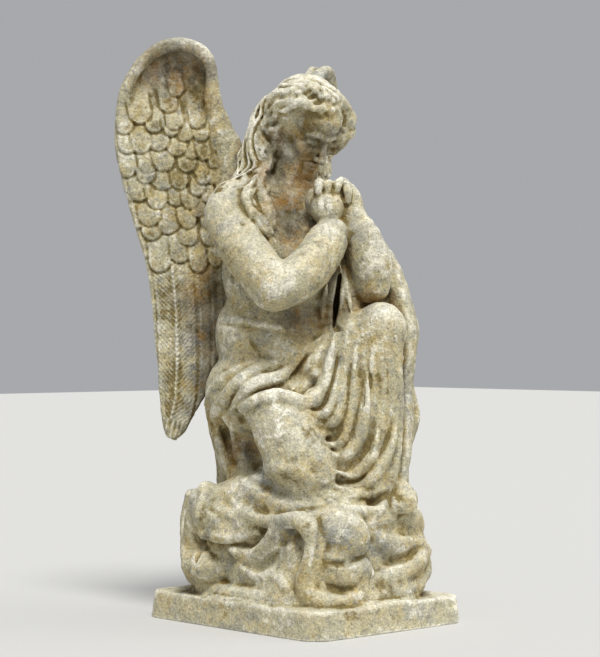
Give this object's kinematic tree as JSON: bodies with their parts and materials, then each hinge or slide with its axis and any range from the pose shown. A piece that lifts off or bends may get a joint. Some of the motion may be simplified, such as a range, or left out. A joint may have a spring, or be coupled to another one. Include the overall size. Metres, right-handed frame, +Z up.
{
  "type": "cemetery angel statue",
  "caption": "Weathered stone statue of a winged angel kneeling on a cloud bank, hands clasped under a bowed head, on a low plinth.",
  "frame": {"origin": "centre of the plinth's flat underside", "axes": "+Z up; the figure faces -Y, and its right hand side is -X"},
  "size_m": [0.5972, 0.5962, 1.2515],
  "materials": {
    "weathered_limestone": "coarse weathered limestone, pale on its crests, with yellow lichen, grey soot and dark dirt in its hollows"
  },
  "bodies": {
    "root": {"angel_statue": "weathered_limestone"}
  },
  "joints": []
}
